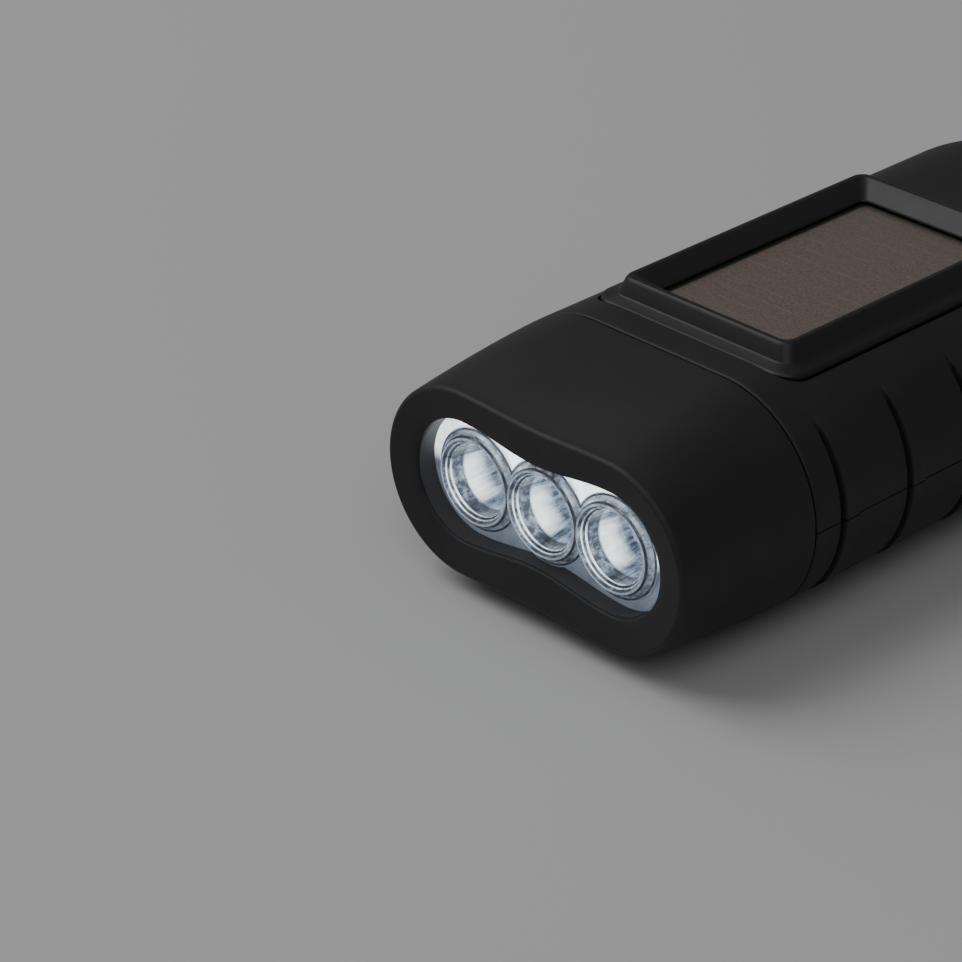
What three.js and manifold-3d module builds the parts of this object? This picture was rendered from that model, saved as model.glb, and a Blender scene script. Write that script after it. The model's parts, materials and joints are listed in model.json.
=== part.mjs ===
// Pocket emergency radio with a three-lamp torch head, a solar panel on top and a hand crank below.
// Millimetres. +Z is up and the torch head faces -Y. The origin is on the resting plane, at the middle of
// the length and width. Heights named "z" inside the housing are counted from the parting plane.
import * as THREE from "three";
import { mergeVertices } from "three/addons/utils/BufferGeometryUtils.js";
import Module from "manifold-3d";

const wasm = await Module();
wasm.setup();

// ---------------------------------------------------------------- driving dimensions
const HALF_LENGTH = 61.8;
const RIM_FRONT = -HALF_LENGTH; // foremost edge of the torch head
const FRONT = RIM_FRONT + 0.8; // its dished face meets the lens opening here
const SEAM = FRONT + 22.4; // where the torch head meets the two shells
const TAIL = 54; // flat end face of the shells
const TAPER = 38; // the tail starts to narrow here
const HALF_WIDTH = 28;
const HALF_HEIGHT = 16.4;
const PARTING = HALF_HEIGHT; // height of the parting plane above the resting plane
const WALL = 2;
const GAP = 0.3; // clearance between pieces that sit against each other

const CUP_PITCH = 12.4;
const CUP_RIM = 5.65;
const CUP_DEPTH = 10;
const OPENING = { w: 21.9, h: 8.75, waist: 1.3 };

const RIB = { first: FRONT + 27.2, pitch: 12.8, count: 5, height: 0.35, depth: 0.65, length: 3.1 };

const FRAME = { y: -6.5, lip: 17.7, longer: 9.1, top: 18.85, seat: 14.6 };
const BUTTON = { y: 37.5, r: 6.5 };
const WHEEL = { x: 20, y: 36, r: 9, half: 1.6 };
const CRANK = { y: 8, r: 17, bottom: -16.1, top: -9.1 };
const KNOB = { x: 7.4, hinge: 8.2, z: -13.1, r: 3, length: 15 };
const SPEAKER = { y: -24, r: 12 };
// Each case screw: x, y and the height of the seat under its head.
const SCREWS = [
  [-18, -34, -11.8],
  [18, -34, -11.8],
  [-17.3, 47.3, -9.8],
  [17.3, 47.3, -9.8],
];

// A gear pair's module, and each gear's number of teeth.
const STAGE_1 = { module: 1, wheel: 32, pinion: 10 };
const STAGE_2 = { module: 0.8, wheel: 26, pinion: 10 };
const centres = (s) => (s.module * (s.wheel + s.pinion)) / 2;
const IDLER = { x: 0, y: CRANK.y + centres(STAGE_1) };
const ROTOR_BEARING = THREE.MathUtils.degToRad(50); // turned from +Y towards +X
const ROTOR = {
  x: IDLER.x + centres(STAGE_2) * Math.sin(ROTOR_BEARING),
  y: IDLER.y + centres(STAGE_2) * Math.cos(ROTOR_BEARING),
};

// ---------------------------------------------------------------- solids and meshes
const group = new THREE.Group();

function toSolid(geometry) {
  const bare = new THREE.BufferGeometry().setAttribute("position", geometry.getAttribute("position"));
  if (geometry.index) bare.setIndex(geometry.index);
  const merged = mergeVertices(bare, 1e-4);
  const triVerts = new Uint32Array(merged.index.array);
  const vertProperties = merged.attributes.position.array;
  const solid = new wasm.Manifold(new wasm.Mesh({ numProp: 3, vertProperties, triVerts }));
  if (solid.volume() > 0) return solid;
  for (let i = 0; i < triVerts.length; i += 3) {
    [triVerts[i + 1], triVerts[i + 2]] = [triVerts[i + 2], triVerts[i + 1]];
  }
  return new wasm.Manifold(new wasm.Mesh({ numProp: 3, vertProperties, triVerts }));
}

function toGeometry(solid) {
  const mesh = solid.getMesh();
  const geometry = new THREE.BufferGeometry();
  geometry.setAttribute("position", new THREE.Float32BufferAttribute(mesh.vertProperties, 3));
  geometry.setIndex(Array.from(mesh.triVerts));
  return geometry;
}

const join = (...solids) => solids.reduce((a, b) => a.add(b));
const cut = (solid, ...tools) => tools.reduce((a, b) => a.subtract(b), solid);

const plastic = (color, roughness = 0.6) => new THREE.MeshStandardMaterial({ color, roughness });
const metal = (color, roughness = 0.35) => new THREE.MeshStandardMaterial({ color, roughness, metalness: 1 });
const look = {
  softBlack: plastic(0x19191a, 0.75),
  glossBlack: plastic(0x101012, 0.4),
  grip: plastic(0x1d1d1f, 0.8),
  clear: new THREE.MeshStandardMaterial({ color: 0xf2f6f8, roughness: 0.05, transparent: true, opacity: 0.35 }),
  chrome: metal(0xdfe3e8, 0.1),
  lamp: plastic(0xf4f8ff, 0.1),
  solar: plastic(0x5f4c43, 0.4),
  board: plastic(0x1e5a36, 0.5),
  steel: metal(0xb9bcc0),
  brass: metal(0xc2a25a),
  copper: metal(0xb5652d),
  gear: plastic(0xe9e6dc, 0.5),
  magnet: plastic(0x35363a, 0.5),
  cell: plastic(0x2f6fae, 0.5),
  paper: plastic(0x26262a, 0.9),
};

// Adds a named mesh. Its solid is modelled about the parting plane, and lifted to stand on the resting plane.
function add(name, solid, material) {
  const mesh = new THREE.Mesh(toGeometry(solid), material);
  mesh.name = name;
  mesh.position.z = PARTING;
  group.add(mesh);
}

// ---------------------------------------------------------------- basic shapes
function box(x0, x1, y0, y1, z0, z1) {
  const g = new THREE.BoxGeometry(x1 - x0, y1 - y0, z1 - z0);
  return toSolid(g.translate((x0 + x1) / 2, (y0 + y1) / 2, (z0 + z1) / 2));
}

function cylinderZ(x, y, r, z0, z1, sides = 24) {
  const g = new THREE.CylinderGeometry(r, r, z1 - z0, sides).rotateX(Math.PI / 2);
  return toSolid(g.translate(x, y, (z0 + z1) / 2));
}

function cylinderX(y, z, r, x0, x1, sides = 20) {
  const g = new THREE.CylinderGeometry(r, r, x1 - x0, sides).rotateZ(Math.PI / 2);
  return toSolid(g.translate((x0 + x1) / 2, y, z));
}

function cylinderY(x, z, r, y0, y1, sides = 24) {
  const g = new THREE.CylinderGeometry(r, r, y1 - y0, sides);
  return toSolid(g.translate(x, (y0 + y1) / 2, z));
}

// A turned solid: profile points are [radius, distance along the axis]. The axis is Z, or +Y where alongY.
function turned(profile, x, y, z, alongY = false, sides = 24) {
  const g = new THREE.LatheGeometry(
    profile.map(([r, d]) => new THREE.Vector2(r, d)),
    sides,
  );
  if (!alongY) g.rotateX(Math.PI / 2);
  return toSolid(g.translate(x, y, z));
}

function extrudeZ(points, z0, z1, holes = []) {
  const shape = new THREE.Shape(points.map(([x, y]) => new THREE.Vector2(x, y)));
  for (const hole of holes) shape.holes.push(new THREE.Path(hole.map(([x, y]) => new THREE.Vector2(x, y))));
  const g = new THREE.ExtrudeGeometry(shape, { depth: z1 - z0, bevelEnabled: false });
  return toSolid(g.translate(0, 0, z0));
}

// Rings of equal point counts are skinned in order. Capped ends close a rod, and a ring-shaped skin closes
// on its first ring.
function skin(rings, ringShaped = false) {
  const n = rings[0].length;
  const positions = rings.flat(2);
  const index = [];
  const steps = ringShaped ? rings.length : rings.length - 1;
  for (let i = 0; i < steps; i++) {
    for (let j = 0; j < n; j++) {
      const a = i * n + j;
      const b = i * n + ((j + 1) % n);
      const c = ((i + 1) % rings.length) * n + j;
      const d = ((i + 1) % rings.length) * n + ((j + 1) % n);
      index.push(a, c, b, b, c, d);
    }
  }
  if (!ringShaped) {
    for (const [start, flip] of [
      [0, false],
      [(rings.length - 1) * n, true],
    ]) {
      const ring = rings[start / n];
      const middle = [0, 1, 2].map((k) => ring.reduce((sum, p) => sum + p[k], 0) / n);
      positions.push(...middle);
      const hub = positions.length / 3 - 1;
      for (let j = 0; j < n; j++) {
        const a = start + j;
        const b = start + ((j + 1) % n);
        index.push(hub, ...(flip ? [b, a] : [a, b]));
      }
    }
  }
  const g = new THREE.BufferGeometry();
  g.setAttribute("position", new THREE.Float32BufferAttribute(positions, 3));
  g.setIndex(index);
  return toSolid(g);
}

// ---------------------------------------------------------------- the body's outline
const ARC_STEPS = 7;


// One ring of the oval section: flat top and bottom, round sides. waist pulls the middle of the flats in,
// and bulge(angle) moves the round sides out, with the angle counted from the horizontal.
function oval(y, w, h, waist = 0, bulge = () => 0, flatSteps = 1) {
  const flat = w - h;
  const corner = [];
  for (let i = 0; i < flatSteps; i++) {
    const x = (flat * i) / flatSteps;
    corner.push([x, h - waist * (0.5 + 0.5 * Math.cos((Math.PI * x) / flat))]);
  }
  for (let i = 0; i <= ARC_STEPS; i++) {
    const a = (Math.PI / 2) * (1 - i / ARC_STEPS);
    const r = h + bulge(a);
    corner.push([flat + r * Math.cos(a), r * Math.sin(a)]);
  }
  const ring = [];
  const quarter = (sx, sz, reverse, skip) => {
    const points = reverse ? [...corner].reverse() : corner;
    for (const [x, z] of points.slice(skip)) ring.push([sx * x, y, sz * z]);
  };
  quarter(1, 1, false, 0);
  quarter(1, -1, true, 1);
  quarter(-1, -1, false, 1);
  quarter(-1, 1, true, 1);
  ring.pop();
  return ring;
}

const noseOval = (y, w, h, waist = 0) => oval(y, w, h, waist, () => 0, 4);

function bodySize(y) {
  const t = Math.max(0, (y - TAPER) / (TAIL - TAPER));
  return [HALF_WIDTH - 6 * t * t, HALF_HEIGHT - 4 * t * t];
}

// A rib fades out towards its upper and lower ends.
const RIB_END = THREE.MathUtils.degToRad(62);
const RIB_FADE = THREE.MathUtils.degToRad(16);
const fade = (a) => THREE.MathUtils.smoothstep(RIB_END - Math.abs(a), 0, RIB_FADE);

function bodyOuter() {
  const stations = [[SEAM, 0]];
  for (let i = 0; i < RIB.count; i++) {
    const y = RIB.first + i * RIB.pitch;
    stations.push([y - 0.45, 0], [y - 0.2, -RIB.depth], [y + 0.15, -RIB.depth], [y + 0.4, RIB.height]);
    stations.push([y + RIB.length, 0]);
  }
  for (let i = 0; i <= 5; i++) stations.push([TAPER + ((TAIL - 1 - TAPER) * i) / 5, 0]);
  const rings = stations.map(([y, lift]) => {
    const [w, h] = bodySize(y);
    return oval(y, w, h, 0, (a) => lift * fade(a));
  });
  const [w, h] = bodySize(TAIL);
  rings.push(oval(TAIL, w - 1, h - 1));
  return skin(rings);
}

function bodyInner() {
  const rings = [SEAM + WALL, TAPER, TAPER + 8, TAIL - WALL].map((y) => {
    const [w, h] = bodySize(y);
    return oval(y, w - WALL, h - WALL);
  });
  return skin(rings);
}

// ---------------------------------------------------------------- torch head
const cupXs = [-CUP_PITCH, 0, CUP_PITCH];
const RIM_Y = FRONT + 1.25; // front rims of the reflector cups
const FLANGE_Y = FRONT + 3.3;
const BOARD_Y = FRONT + 14.4;

function noseBezel() {
  const seam = SEAM - 0.15;
  const outer = skin([
    noseOval(RIM_FRONT, 26.0, 12.7, 0.4),
    noseOval(RIM_FRONT + 0.3, 26.55, 13.25, 0.4),
    noseOval(RIM_FRONT + 1.2, 26.9, 13.65, 0.4),
    noseOval(FRONT + 5, 27.25, 14.5, 0.25),
    noseOval(FRONT + 11, 27.6, 15.4, 0.1),
    noseOval(FRONT + 17, 27.85, 16.05),
    noseOval(seam, HALF_WIDTH, HALF_HEIGHT),
  ]);
  const { w, h, waist } = OPENING;
  const opening = skin([noseOval(FRONT - 2, w, h, waist), noseOval(FRONT + 3.2, w, h, waist)]);
  const dish = skin([noseOval(RIM_FRONT - 0.2, 26.6, 13.2, 0.4), noseOval(FRONT, w, h, waist)]);
  const cavity = skin([noseOval(FRONT + 3, 23.8, 11.4), noseOval(SEAM - 3.9, 23.8, 11.9)]);
  const socket = skin([noseOval(SEAM - 4, 25.9, 14.3), noseOval(SEAM + 1, 25.9, 14.3)]);
  return cut(outer, opening, dish, cavity, socket);
}

function lens() {
  const { w, h, waist } = OPENING;
  const fit = 0.25;
  return skin([
    noseOval(FRONT + 0.1, w - fit - 0.3, h - fit - 0.3, waist),
    noseOval(FRONT + 0.3, w - fit, h - fit, waist),
    noseOval(FRONT + 0.95, w - fit, h - fit, waist),
  ]);
}

function reflector() {
  const flange = skin([oval(FLANGE_Y, 23.3, 10.9), oval(FLANGE_Y + 1, 23.3, 10.9)]);
  const collars = cupXs.map((x) => cylinderY(x, 0, 6.9, FRONT + 2.3, FLANGE_Y + 0.5, 24));
  const cups = cupXs.map((x) => cylinderY(x, 0, 6.12, RIM_Y, RIM_Y + CUP_DEPTH, 24));
  const bowl = [];
  for (let i = 0; i <= 4; i++) {
    const t = i / 4;
    bowl.push([CUP_RIM - (CUP_RIM - 2.75) * t * t, CUP_DEPTH * t]);
  }
  const hollow = [[0, -0.5], [CUP_RIM + 0.05, -0.5], ...bowl, [2.75, CUP_DEPTH + 0.5], [0, CUP_DEPTH + 0.5]];
  return cut(join(flange, ...collars, ...cups), ...cupXs.map((x) => turned(hollow, x, RIM_Y, 0, true)));
}

// A round lamp: a domed 5 mm body with a collar, on two leads' worth of base.
function lamp(x) {
  const profile = [[0, -8], [2.2, -8], [2.2, -6.6], [2.9, -6.6], [2.9, -5.8], [2.5, -5.8], [2.5, -2.4]];
  for (let i = 1; i < 3; i++) {
    const a = (Math.PI / 2) * (i / 3);
    profile.push([2.5 * Math.cos(a), -2.4 + 2.4 * Math.sin(a)]);
  }
  profile.push([0, 0]);
  const flipped = profile.map(([r, d]) => [r, -d]);
  return turned(flipped, x, FRONT + 6.1, 0, true, 16);
}

add("nose_bezel", noseBezel(), look.softBlack);
add("lens", lens(), look.clear);
add("reflector", reflector(), look.chrome);
["left", "middle", "right"].forEach((side, i) => add(`lamp_${side}`, lamp(cupXs[i]), look.lamp));
add("lamp_board", box(-19.6, 19.6, BOARD_Y, BOARD_Y + 1.6, -8, 8), look.board);
add(
  "nose_seal",
  cut(skin([oval(SEAM - 3.8, 25.5, 13.9), oval(SEAM - 3, 25.5, 13.9)]), skin([oval(SEAM - 5, 24.2, 12.6), oval(SEAM, 24.2, 12.6)])),
  look.grip,
);

// ---------------------------------------------------------------- the two shells
const SPIGOT = [25.6, 14.0];
const THROAT = [24.0, 12.4];
const BOSS = 3;

function hollowBody() {
  const spigot = skin([oval(SEAM - 2.8, ...SPIGOT), oval(SEAM + 1, ...SPIGOT)]);
  const throat = skin([oval(SEAM - 4, ...THROAT), oval(SEAM + WALL + 0.5, ...THROAT)]);
  return cut(join(bodyOuter(), spigot), bodyInner(), throat);
}

// What both shells give way to along the parting plane: the thumbwheels and the lanyard lug.
function partingCuts() {
  const wheels = [-1, 1].map((s) =>
    cylinderZ(s * WHEEL.x, WHEEL.y, WHEEL.r + 0.5, -WHEEL.half - 0.4, WHEEL.half + 0.4, 32),
  );
  return [...wheels, box(-17.3, -8.7, TAIL - 3, TAIL + 1, -1.9, 1.9), box(-19, -7, TAIL - 4.2, TAIL - 2.1, -1.9, 1.9)];
}

const roundedRect = (hx, hy, r, steps = 3) => {
  const points = [];
  const corners = [
    [hx - r, hy - r, 0],
    [r - hx, hy - r, 1],
    [r - hx, r - hy, 2],
    [hx - r, r - hy, 3],
  ];
  for (const [cx, cy, q] of corners) {
    for (let i = 0; i <= steps; i++) {
      const a = (Math.PI / 2) * (q + i / steps);
      points.push([cx + r * Math.cos(a), cy + r * Math.sin(a)]);
    }
  }
  return points;
};

const frameRect = (half, r) => roundedRect(half, half + FRAME.longer, r).map(([x, y]) => [x, y + FRAME.y]);

const PORT = { half: 4.4, z0: 2.0, z1: 4.8 };
const FLAP = { half: 6.3, z0: 0.9, hinge: 5.3, thick: 0.6 };

function upperShell() {
  const half = hollowBody().intersect(box(-40, 40, -70, 70, 0.15, 30));
  const bosses = SCREWS.map(([x, y]) =>
    cylinderZ(x, y, BOSS, 0.3, 20, 20).intersect(bodyOuter()),
  );
  const pilots = SCREWS.map(([x, y]) => cylinderZ(x, y, 1.25, -1, 7, 16));
  return cut(
    join(half, ...bosses),
    ...pilots,
    extrudeZ(frameRect(15.2, 1.8), 8, 22),
    extrudeZ(frameRect(FRAME.lip + GAP, 3.8), FRAME.seat, 22),
    cylinderZ(0, BUTTON.y, BUTTON.r + 0.4, 8, 22, 36),
    box(-PORT.half - 0.4, PORT.half + 0.4, TAIL - 4, TAIL + 2, PORT.z0 - 0.3, PORT.z1 + 0.3),
    box(-FLAP.half - GAP, FLAP.half + GAP, TAIL - 0.9, TAIL + 2, FLAP.z0 - 0.4, FLAP.hinge + 1),
    ...partingCuts(),
  );
}

const POCKET = { r: CRANK.r + 0.5, floor: -8.8, roof: -7.4 };

function lowerShell() {
  const half = hollowBody().intersect(box(-40, 40, -70, 70, -30, -0.15));
  const bosses = SCREWS.map(([x, y]) => cylinderZ(x, y, BOSS, -20, -0.3, 20).intersect(bodyOuter()));
  const pocketWall = cylinderZ(0, CRANK.y, POCKET.r + 1.5, -20, POCKET.roof, 36).intersect(bodyOuter());
  const slots = [-8, -4, 0, 4, 8].map((dy) => {
    const reach = Math.sqrt(10.5 ** 2 - dy ** 2);
    return box(-reach, reach, SPEAKER.y + dy - 0.8, SPEAKER.y + dy + 0.8, -20, -10);
  });
  return cut(
    join(half, ...bosses, pocketWall),
    cylinderZ(0, CRANK.y, POCKET.r, -20, POCKET.floor, 40),
    cylinderZ(0, CRANK.y, 3.4, -12, 0, 32),
    ...SCREWS.flatMap(([x, y, seat]) => [
      cylinderZ(x, y, 1.6, -20, 1, 16),
      cylinderZ(x, y, 2.7, -20, seat + GAP),
    ]),
    ...slots,
    ...partingCuts(),
  );
}

add("upper_shell", upperShell(), look.softBlack);
add("lower_shell", lowerShell(), look.softBlack);

SCREWS.forEach(([x, y, seat], i) => {
  const head = seat - 1.4;
  const profile = [[0, head], [2.3, head], [2.3, seat], [1.15, seat], [1.15, 6], [0, 6.6]];
  add(`case_screw_${i + 1}`, turned(profile, x, y, 0, false, 16), look.steel);
});

// The lanyard lug is a flat bar with a slot, held in the tail wall by a wider head inside.
function lanyardLug() {
  const outline = roundedRect(6, 3.3, 1.6).map(([x, y]) => [x - 13, y + HALF_LENGTH - 3.3]);
  const slot = roundedRect(3.7, 1.0, 0.6).map(([x, y]) => [x - 13, y + 58]);
  const bar = extrudeZ(outline, -2, 2);
  const neck = box(-17, -9, TAIL - WALL - 0.6, TAIL + 1.5, -1.6, 1.6);
  const head = box(-18.5, -7.5, TAIL - WALL - 1.8, TAIL - WALL - 0.4, -1.6, 1.6);
  const eye = extrudeZ(roundedRect(3.6, 2.25, 0.5).map(([x, y]) => [x - 13, y + 57.1]), -4, 4);
  return cut(join(bar, neck, head), eye, extrudeZ(slot, -4, 4));
}
add("lanyard_lug", lanyardLug(), look.glossBlack);

// ---------------------------------------------------------------- solar panel
// Each ring of the frame's section: half-width, height and corner radius.
function solarFrame() {
  const lip = FRAME.lip;
  const section = [
    [lip, FRAME.seat + 0.2, 3.5],
    [lip, FRAME.seat + 1.2, 3.5],
    [lip - 0.3, FRAME.seat + 1.45, 3.3],
    [15.7, 16.5, 2.2],
    [14.95, 18.4, 1.9],
    [14.6, FRAME.top, 1.7],
    [13.9, FRAME.top, 1.4],
    [11.3, 17.3, 1.0],
    [11.2, 16.4, 1.0],
    [12.4, 16.4, 1.0],
    [12.4, 13.0, 1.0],
    [14.9, 13.0, 1.6],
    [14.9, FRAME.seat + 0.2, 1.6],
  ];
  return skin(
    section.map(([half, z, r]) => frameRect(half, r).map(([x, y]) => [x, y, z])),
    true,
  );
}
add("solar_frame", solarFrame(), look.glossBlack);
add("solar_cell", extrudeZ(frameRect(12.1, 0.6), 14.2, 15.2), look.solar);
add("solar_window", extrudeZ(frameRect(12.1, 0.6), 15.4, 16.1), look.clear);

// ---------------------------------------------------------------- boards, battery, speaker and aerial
const BOARD = { z0: 5, z1: 6.6 };

function mainBoard() {
  const outline = [[-19, -12], [19, -12], [19, 29], [23, 29], [23, 42], [7, 42], [7, 50], [-7, 50], [-7, 42]];
  return extrudeZ([...outline, [-23, 42], [-23, 29], [-19, 29]], BOARD.z0, BOARD.z1);
}

function batteryHolder() {
  const tray = box(-15.6, 15.6, SPEAKER.y - 8, SPEAKER.y + 8, -2.4, 4);
  return cut(tray, box(-14.2, 14.2, SPEAKER.y - 6.8, SPEAKER.y + 6.8, -1, 6));
}

add("main_board", mainBoard(), look.board);
add("battery_holder", batteryHolder(), look.glossBlack);
for (let i = 0; i < 3; i++) {
  const x = -13.6 + i * 9.2;
  add(`battery_cell_${i + 1}`, cylinderX(SPEAKER.y, 6.0, 6.4, x, x + 8.8, 28), look.cell);
}
add(
  "speaker_basket",
  turned([[10.6, -13.9], [12, -13.9], [12, -9.8], [5, -6.4], [5, -7.4], [10.6, -10.6], [10.6, -13.9]], 0, SPEAKER.y, 0, false, 28),
  look.steel,
);
add(
  "speaker_cone",
  turned([[0, -11.4], [2.6, -11.4], [10.2, -13.4], [10.2, -12.9], [2.6, -10.7], [0, -10.7]], 0, SPEAKER.y, 0, false, 24),
  look.paper,
);
add("speaker_magnet", cylinderZ(0, SPEAKER.y, 4.6, -9.9, -4.4, 20), look.magnet);
const AERIAL = { y: 25.5, z: 10.5 };
add("aerial_rod", cylinderX(AERIAL.y, AERIAL.z, 2.5, -15.5, 15.5, 20), look.magnet);
add(
  "aerial_coil",
  cut(cylinderX(AERIAL.y, AERIAL.z, 3.5, -8, 8, 24), cylinderX(AERIAL.y, AERIAL.z, 2.8, -9, 9, 24)),
  look.copper,
);
add(
  "charge_socket",
  cut(
    box(-PORT.half, PORT.half, TAIL - 8, TAIL - 1.2, PORT.z0, PORT.z1),
    box(-PORT.half + 0.5, PORT.half - 0.5, TAIL - 7, TAIL, PORT.z0 + 0.5, PORT.z1 - 0.5),
  ),
  look.steel,
);

// The flap hangs from a round bead along its top edge.
function portFlap() {
  const bead = cylinderX(TAIL, FLAP.hinge, FLAP.thick, -FLAP.half, FLAP.half, 20);
  return join(bead, box(-FLAP.half, FLAP.half, TAIL - FLAP.thick, TAIL + FLAP.thick, FLAP.z0, FLAP.hinge));
}
add("port_flap", portFlap(), look.grip);

// ---------------------------------------------------------------- torch switch and thumbwheels
function torchButton() {
  const { r } = BUTTON;
  const profile = [[0, 9.8], [1.8, 9.8], [1.8, 11.6], [r + 1.1, 11.6], [r + 1.1, 12.6], [r, 12.6], [r, 16.9]];
  profile.push([r - 0.5, 17.5], [r - 1.6, 17.8], [0, 18.1]);
  return turned(profile, 0, BUTTON.y, 0, false, 28);
}
add("torch_button", torchButton(), look.grip);
add(
  "torch_switch",
  cut(box(-4.5, 4.5, BUTTON.y - 4.5, BUTTON.y + 4.5, BOARD.z1 + 0.1, 10.4), cylinderZ(0, BUTTON.y, 2.2, 8.2, 14, 20)),
  look.glossBlack,
);

const KNURLS = 24;
function thumbwheel(side) {
  const outline = [];
  for (let i = 0; i < KNURLS; i++) {
    for (const [share, r] of [[0, WHEEL.r], [0.6, WHEEL.r], [0.8, WHEEL.r - 0.6]]) {
      const a = (2 * Math.PI * (i + share)) / KNURLS;
      outline.push([side * WHEEL.x + r * Math.cos(a), WHEEL.y + r * Math.sin(a)]);
    }
  }
  const rim = extrudeZ(outline, -WHEEL.half, WHEEL.half);
  return join(rim, cylinderZ(side * WHEEL.x, WHEEL.y, 1.5, 1, 3.6, 20));
}

// The component under each thumbwheel's stub shaft, hanging from the main board.
function wheelPart(side) {
  const x = side * WHEEL.x;
  const body = box(x - 4.3, x + 4.3, WHEEL.y - 4.5, WHEEL.y + 4.5, 2.2, BOARD.z0 - 0.1);
  return cut(body, cylinderZ(x, WHEEL.y, 1.8, 1, 4.2, 20));
}
add("tuning_wheel", thumbwheel(1), look.grip);
add("tuning_capacitor", wheelPart(1), look.gear);
add("volume_wheel", thumbwheel(-1), look.grip);
add("volume_control", wheelPart(-1), look.steel);

// ---------------------------------------------------------------- crank
function crankDisc() {
  const { r, bottom, top } = CRANK;
  const profile = [[0, bottom], [r - 2.2, bottom], [r - 0.6, bottom + 0.6], [r, bottom + 1.6], [r, top], [0, top]];
  const slotEnd = KNOB.hinge + KNOB.r + 0.35;
  return cut(
    turned(profile, 0, CRANK.y, 0, false, 40),
    box(KNOB.x - 3.6, KNOB.x + 3.6, CRANK.y - 11.6, CRANK.y + slotEnd, bottom - 1, KNOB.z + KNOB.r + 0.2),
    toSolid(new THREE.SphereGeometry(5, 16, 8).translate(KNOB.x, CRANK.y - 9.5, bottom - 0.6)),
    cylinderX(CRANK.y + KNOB.hinge, KNOB.z, 1.15, KNOB.x - 6, KNOB.x + 6, 16),
    cylinderZ(0, CRANK.y, 2.1, -12, top + 1),
    cylinderZ(0, CRANK.y, 1.4, -20, top + 1, 16),
    cylinderZ(0, CRANK.y, 3.1, -20, -14.4),
  );
}

function crankShaft() {
  return cut(cylinderZ(0, CRANK.y, 2, -11.8, -1.9), cylinderZ(0, CRANK.y, 1.3, -13, -6, 16));
}

const HINGE_Y = CRANK.y + KNOB.hinge;
function knobArm() {
  const barrel = cylinderX(HINGE_Y, KNOB.z, KNOB.r, KNOB.x - 3.3, KNOB.x + 3.3, 28);
  const stud = cylinderY(KNOB.x, KNOB.z, 1.2, HINGE_Y - 19.1, HINGE_Y - 1, 20);
  const cap = cylinderY(KNOB.x, KNOB.z, 2.2, HINGE_Y - 19.1, HINGE_Y - 18.3, 20);
  return cut(join(barrel, stud, cap), cylinderX(HINGE_Y, KNOB.z, 1.15, KNOB.x - 5, KNOB.x + 5, 16));
}

function knobGrip() {
  const near = HINGE_Y - KNOB.r;
  const { r, length } = KNOB;
  const profile = [[1.45, 0.1], [r - 0.5, 0.1], [r, 0.6], [r, 4], [r - 0.35, 5], [r - 0.35, length - 5]];
  profile.push([r, length - 4], [r, length - 0.6], [r - 0.5, length - 0.1], [1.45, length - 0.1], [1.45, 0.1]);
  const back = profile.map(([radius, d]) => [radius, -d]);
  return turned(back, KNOB.x, near, KNOB.z, true, 20);
}

add("crank_disc", crankDisc(), look.softBlack);
add("crank_shaft", crankShaft(), look.steel);
add(
  "crank_bush",
  cut(cylinderZ(0, CRANK.y, 3.2, POCKET.floor + 0.1, POCKET.roof - 0.1), cylinderZ(0, CRANK.y, 2.15, -12, 0)),
  look.brass,
);
add("crank_screw", turned([[0, -15.9], [2.8, -15.9], [2.8, -14.7], [1.1, -14.7], [1.1, -7], [0, -6.4]], 0, CRANK.y, 0, false, 20), look.steel);
add("knob_pin", cylinderX(HINGE_Y, KNOB.z, 0.95, KNOB.x - 5, KNOB.x + 5, 16), look.steel);
add("knob_arm", knobArm(), look.steel);
add("knob_grip", knobGrip(), look.grip);

// ---------------------------------------------------------------- gear train and generator
// An involute gear's outline, with one tooth centred on +X turned by phase.
function gearOutline(module, teeth, phase, x, y) {
  const pitch = (module * teeth) / 2;
  const tip = pitch + 0.85 * module;
  const root = pitch - 1.15 * module;
  const base = pitch * Math.cos(THREE.MathUtils.degToRad(20));
  const involute = (r) => {
    const a = Math.acos(Math.min(1, base / Math.max(r, base)));
    return Math.tan(a) - a;
  };
  const halfAtPitch = Math.PI / (2 * teeth) - 0.09 / pitch;
  const half = (r) => Math.max(0.01, halfAtPitch + involute(pitch) - involute(r));
  const start = Math.max(base, root);
  const points = [];
  for (let i = 0; i < teeth; i++) {
    const middle = phase + (2 * Math.PI * i) / teeth;
    const flank = [[root, half(start) * 1.05], [tip, half(tip)]];
    for (const [r, h] of flank) points.push([x + r * Math.cos(middle - h), y + r * Math.sin(middle - h)]);
    for (const [r, h] of [...flank].reverse()) points.push([x + r * Math.cos(middle + h), y + r * Math.sin(middle + h)]);
  }
  return points.filter(([px, py], i) => {
    const [qx, qy] = points[(i + 1) % points.length];
    return Math.hypot(px - qx, py - qy) > 1e-3;
  });
}

const gear = (module, teeth, phase, at, z0, z1) => extrudeZ(gearOutline(module, teeth, phase, at.x, at.y), z0, z1);
const TOWARDS_IDLER = Math.PI / 2; // from the crank axis
const TOWARDS_ROTOR = Math.PI / 2 - ROTOR_BEARING; // from the idler axis
const facing = (towards, teeth) => towards + Math.PI + Math.PI / teeth; // the other gear's gap meets the tooth

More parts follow.
